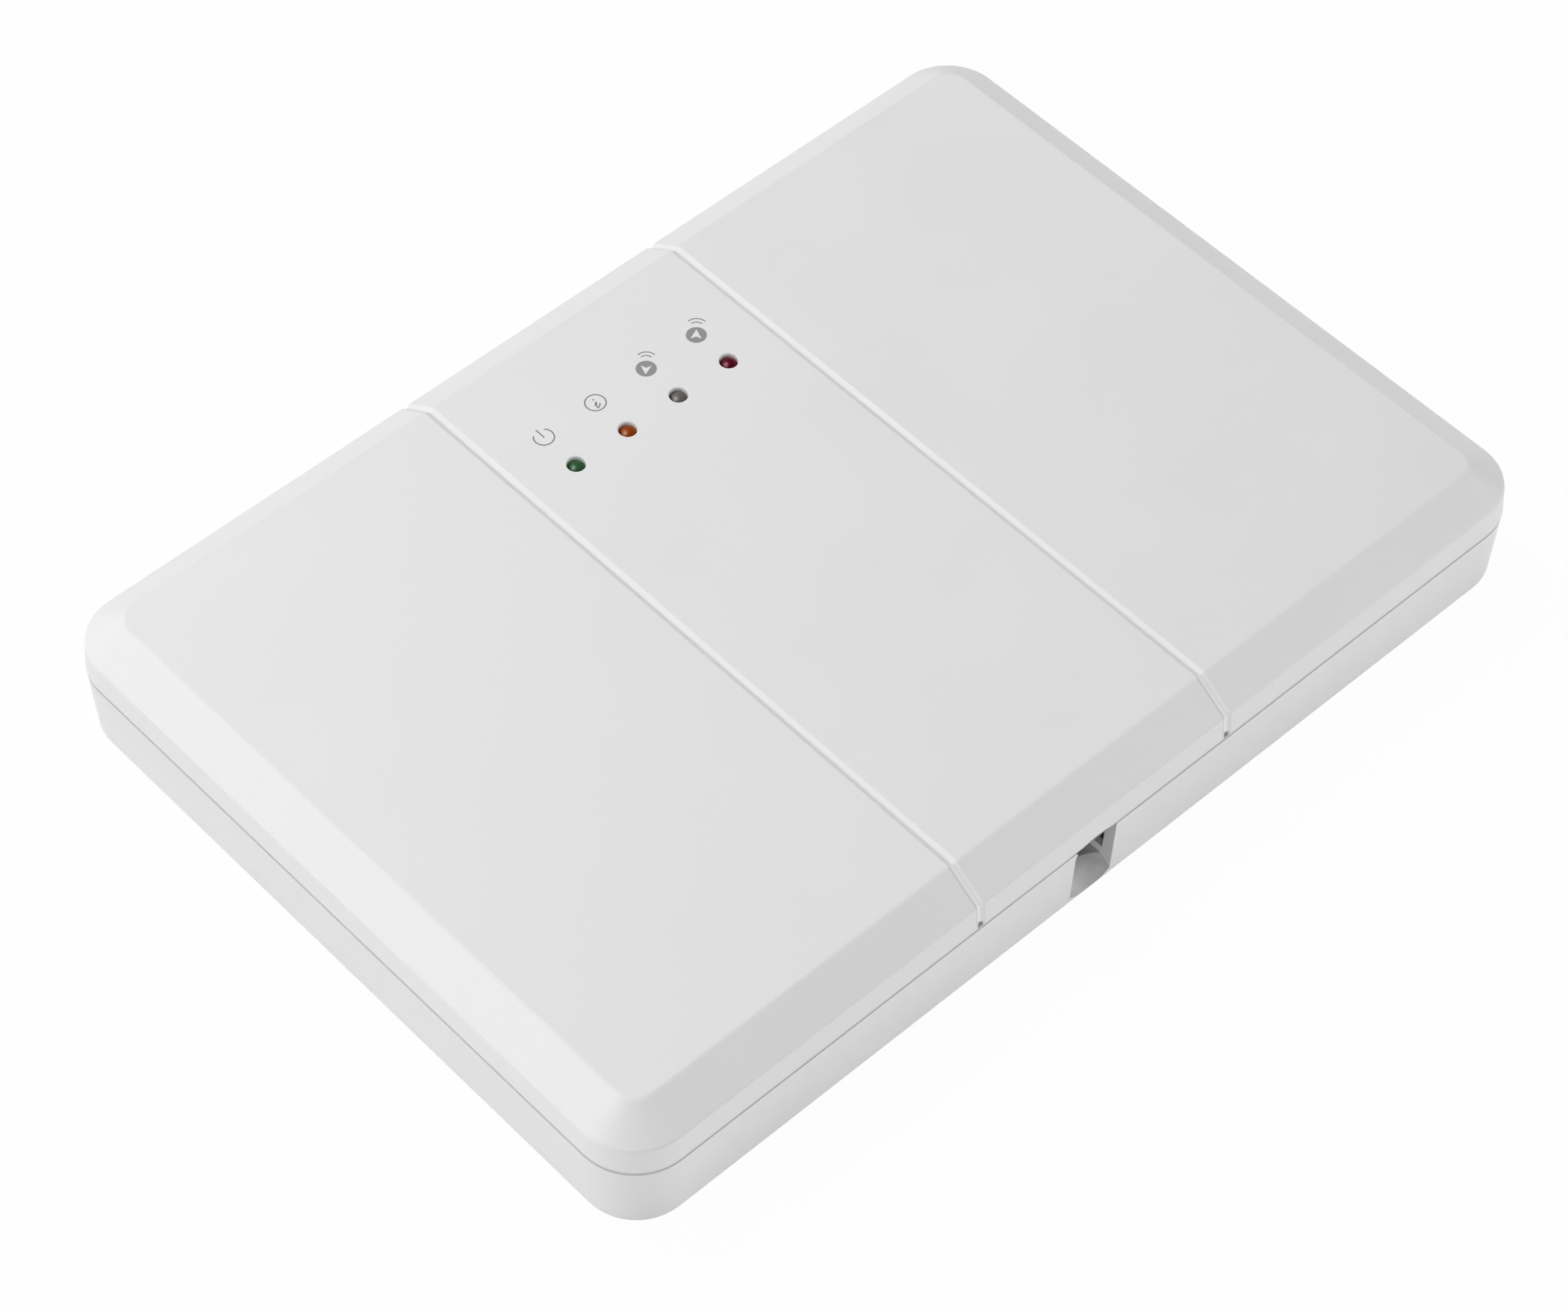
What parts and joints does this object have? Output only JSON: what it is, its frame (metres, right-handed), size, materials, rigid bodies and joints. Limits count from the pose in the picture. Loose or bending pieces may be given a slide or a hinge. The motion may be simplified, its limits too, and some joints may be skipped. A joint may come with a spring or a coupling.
{
  "type": "wireless signal repeater",
  "caption": "Flat wall box with a clip-on front in three panels, a row of indicator lamps, a radio board with wire antennas and a standby battery inside.",
  "frame": {"origin": "centre of the flat rear face", "axes": "+X along the long side, +Y up when it hangs on a wall, +Z out of the front"},
  "size_m": [0.2, 0.139, 0.0244],
  "materials": {
    "shell_front": "white moulded ABS, very fine matte texture",
    "shell_back": "white moulded ABS, very fine matte texture",
    "board_laminate": "green solder mask over copper tracks",
    "screw_steel": "zinc plated",
    "shield_tin": "tinned sheet",
    "black_moulding": "black filled moulding",
    "antenna_copper": "enamelled wire",
    "clear_moulding": "natural nylon",
    "lamp_green": "tinted clear epoxy",
    "lamp_orange": "tinted clear epoxy",
    "lamp_clear": "clear epoxy",
    "lamp_red": "tinted clear epoxy",
    "terminal_green": "green moulding",
    "dip_blue": "blue moulding",
    "key_white": "white moulding",
    "key_red": "red moulding",
    "can_metal": "rolled can",
    "ferrite": "ferrite drum",
    "crystal_metal": "nickel plated can",
    "fuse_glass": "clear tube",
    "fuse_metal": "nickel plated",
    "cell_metal": "nickel plated cell can",
    "sleeve_film": "shrink film",
    "socket_white": "natural nylon",
    "wire_red": "PVC insulation",
    "wire_black": "PVC insulation"
  },
  "bodies": {
    "housing": {"base": "shell_back", "main_board": "board_laminate", "board_screws": "screw_steel", "radio_board": "board_laminate", "radio_shield": "shield_tin", "radio_pins": "black_moulding", "antenna_top": "antenna_copper", "antenna_side": "antenna_copper", "antenna_posts": "clear_moulding", "lamp_spacers": "black_moulding", "terminal_block": "terminal_green", "terminal_screws": "screw_steel", "dip_body": "dip_blue", "program_switch": "black_moulding", "tamper_switch": "black_moulding", "controller_chip": "black_moulding", "logic_chips": "black_moulding", "capacitors": "can_metal", "capacitor_feet": "black_moulding", "choke": "ferrite", "regulator": "black_moulding", "crystal": "crystal_metal", "fuse_tube": "fuse_glass", "fuse_caps": "fuse_metal", "fuse_clips": "fuse_metal", "jumper_header": "black_moulding", "jumper_link": "key_red", "battery_cells": "cell_metal", "battery_sleeve": "sleeve_film", "battery_strap": "clear_moulding", "strap_screws": "screw_steel", "battery_socket": "socket_white", "battery_plug": "socket_white", "battery_lead_red": "wire_red", "battery_lead_black": "wire_black", "lamp_green": "lamp_green", "lamp_orange": "lamp_orange", "lamp_clear": "lamp_clear", "lamp_red": "lamp_red"},
    "cover": {"front_cover": "shell_front"},
    "tamper_key": {"tamper_plunger": "key_white"},
    "program_key": {"program_cap": "key_red"},
    "dip_1": {"dip_key_1": "key_white"},
    "dip_2": {"dip_key_2": "key_white"},
    "dip_3": {"dip_key_3": "key_white"},
    "dip_4": {"dip_key_4": "key_white"}
  },
  "joints": [
    {"name": "cover_swing", "type": "hinge", "parent": "housing", "child": "cover", "pos_m": [0, 0.0695, 0.01485], "axis": [-1, 0, 0], "range_deg": [0, 80]},
    {"name": "tamper_press", "type": "slide", "parent": "housing", "child": "tamper_key", "axis": [0, 0, 1], "range_m": [-0.0011, 0], "stiffness_N_per_m": 300, "springref_m": 0.002},
    {"name": "program_press", "type": "slide", "parent": "housing", "child": "program_key", "axis": [0, 0, 1], "range_m": [-0.0005, 0], "stiffness_N_per_m": 800, "springref_m": 0.0006},
    {"name": "dip_1_slide", "type": "slide", "parent": "housing", "child": "dip_1", "axis": [0, 1, 0], "range_m": [0, 0.0014]},
    {"name": "dip_2_slide", "type": "slide", "parent": "housing", "child": "dip_2", "axis": [0, 1, 0], "range_m": [0, 0.0014]},
    {"name": "dip_3_slide", "type": "slide", "parent": "housing", "child": "dip_3", "axis": [0, 1, 0], "range_m": [0, 0.0014]},
    {"name": "dip_4_slide", "type": "slide", "parent": "housing", "child": "dip_4", "axis": [0, 1, 0], "range_m": [0, 0.0014]}
  ]
}
